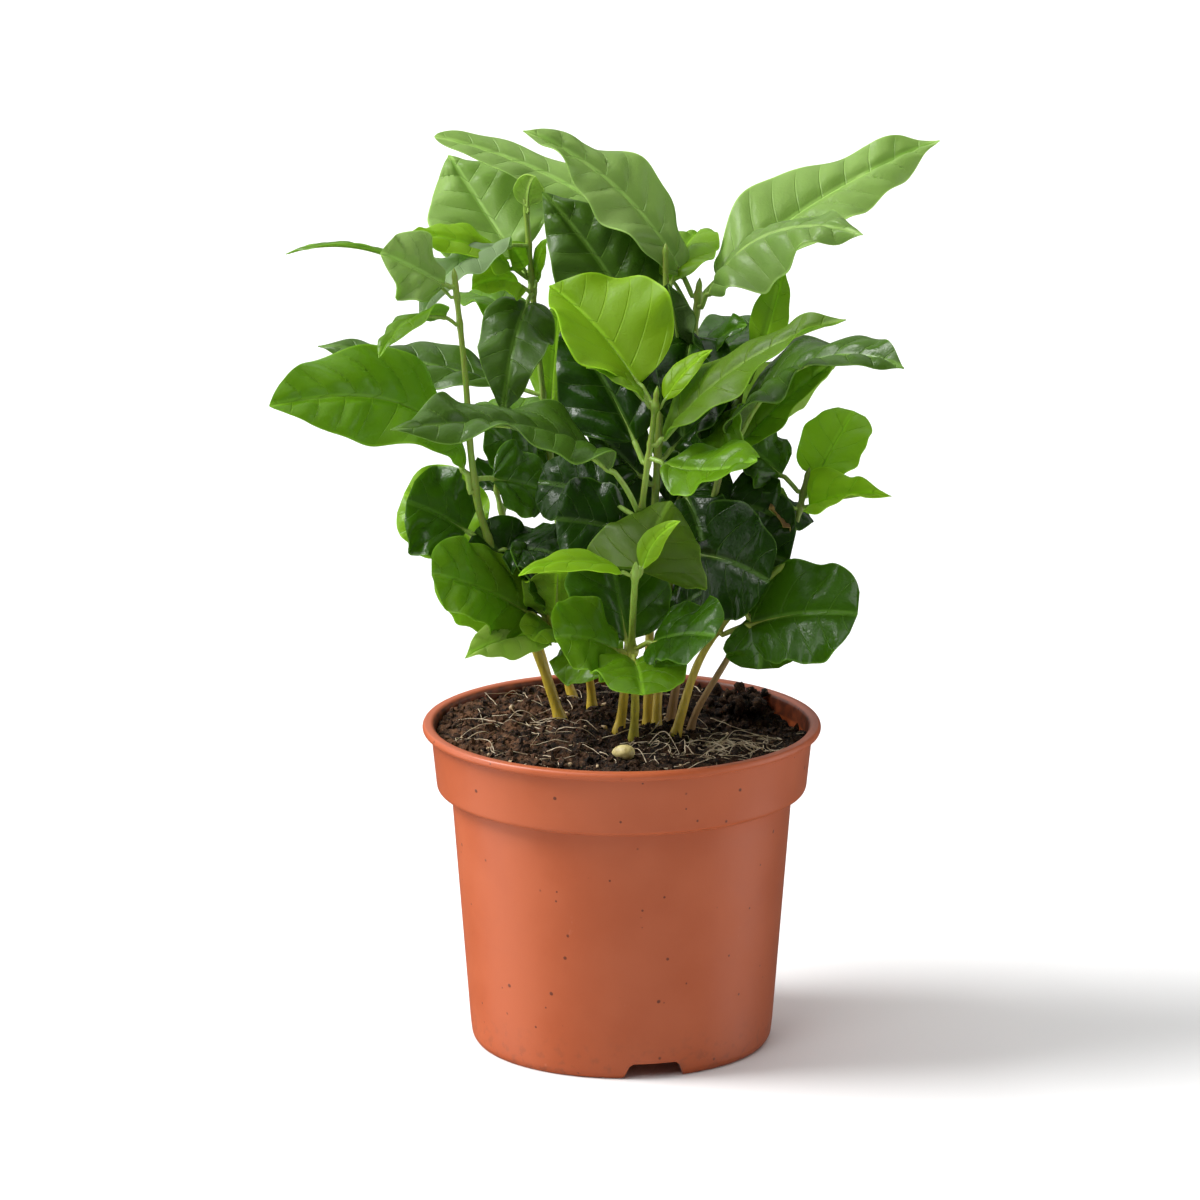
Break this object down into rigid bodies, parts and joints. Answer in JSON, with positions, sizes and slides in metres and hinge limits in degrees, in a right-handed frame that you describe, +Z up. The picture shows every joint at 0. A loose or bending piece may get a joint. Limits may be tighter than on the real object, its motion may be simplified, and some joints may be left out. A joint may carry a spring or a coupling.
{
  "type": "potted coffee plant",
  "caption": "Young coffee plant in a round plastic nursery pot: glossy wavy leaves on slender stems rising from dark potting mix.",
  "frame": {"origin": "on the pot's axis, in the plane the pot stands on", "axes": "+Z up along the pot's axis; -Y towards the front of the plant; +X to the plant's right seen from the front"},
  "size_m": [0.1971, 0.1487, 0.2733],
  "materials": {
    "pot": "satin",
    "potting_mix": "matte",
    "seed_husk": "matte",
    "stem": "satin",
    "leaf_true": "gloss",
    "leaf_seed": "gloss"
  },
  "bodies": {
    "root": {"pot": "pot", "potting_mix": "potting_mix", "seed_husk": "seed_husk", "stem_left_tall": "stem", "stem_left_back": "stem", "stem_upper_left": "stem", "stem_low_left": "stem", "stem_centre": "stem", "stem_front": "stem", "stem_top": "stem", "stem_right_top": "stem", "stem_right_mid": "stem", "stem_right_curved": "stem", "stem_right_low": "stem", "leaf_left_tall_1": "leaf_true", "leaf_left_tall_2": "leaf_true", "leaf_left_tall_3": "leaf_true", "leaf_left_tall_4": "leaf_true", "leaf_left_tall_5": "leaf_true", "leaf_left_tall_6": "leaf_seed", "leaf_left_tall_7": "leaf_seed", "leaf_left_tall_8": "leaf_seed", "leaf_left_back_1": "leaf_seed", "leaf_upper_left_1": "leaf_true", "leaf_upper_left_2": "leaf_true", "leaf_upper_left_3": "leaf_true", "leaf_upper_left_4": "leaf_true", "leaf_upper_left_5": "leaf_true", "leaf_upper_left_6": "leaf_true", "leaf_low_left_1": "leaf_seed", "leaf_low_left_2": "leaf_true", "leaf_low_left_3": "leaf_seed", "leaf_centre_1": "leaf_true", "leaf_centre_2": "leaf_true", "leaf_centre_3": "leaf_true", "leaf_centre_4": "leaf_true", "leaf_centre_5": "leaf_true", "leaf_centre_6": "leaf_seed", "leaf_centre_7": "leaf_seed", "leaf_centre_8": "leaf_seed", "leaf_front_1": "leaf_seed", "leaf_front_2": "leaf_seed", "leaf_front_3": "leaf_true", "leaf_top_1": "leaf_true", "leaf_top_2": "leaf_true", "leaf_right_top_1": "leaf_true", "leaf_right_top_2": "leaf_true", "leaf_right_top_3": "leaf_true", "leaf_right_top_4": "leaf_true", "leaf_right_top_5": "leaf_true", "leaf_right_top_6": "leaf_true", "leaf_right_mid_1": "leaf_true", "leaf_right_mid_2": "leaf_true", "leaf_right_mid_3": "leaf_true", "leaf_right_curved_1": "leaf_seed", "leaf_right_curved_2": "leaf_seed", "leaf_right_curved_3": "leaf_seed", "leaf_right_low_1": "leaf_seed", "leaf_right_low_2": "leaf_true", "leaf_right_low_3": "leaf_true"}
  },
  "joints": []
}
